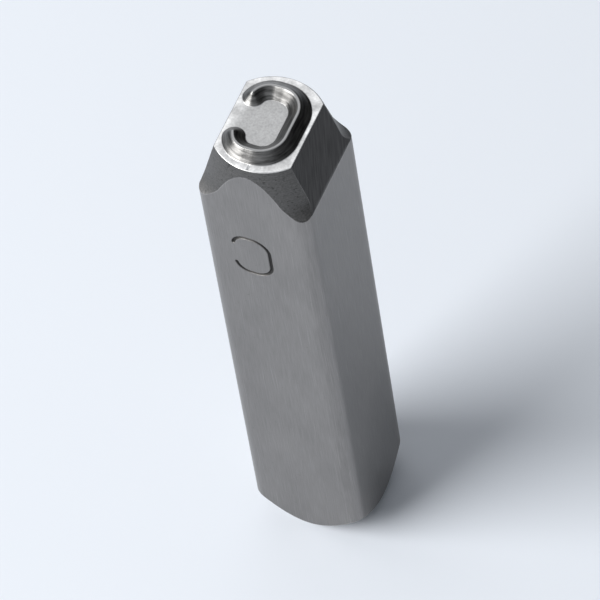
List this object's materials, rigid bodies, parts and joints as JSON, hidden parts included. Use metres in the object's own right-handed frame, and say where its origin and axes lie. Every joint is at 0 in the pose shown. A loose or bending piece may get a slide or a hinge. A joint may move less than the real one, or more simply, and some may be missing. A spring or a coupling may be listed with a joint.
{
  "type": "steel letter punch",
  "caption": "Square steel bar with a turned and bevelled end that carries a reversed raised letter C; hammering its flat other end stamps the letter into metal.",
  "frame": {"origin": "centre of the flat striking face, on which the punch stands", "axes": "+Z along the bar from the striking face to the die, +Y towards the top of the letter, -Y out of the front flat that carries the stamped mark"},
  "size_m": [0.012, 0.012, 0.066],
  "materials": {
    "punch": "satin, finely ground flats, turned neck, bright die face and crest"
  },
  "bodies": {
    "root": {"punch": "punch"}
  },
  "joints": []
}
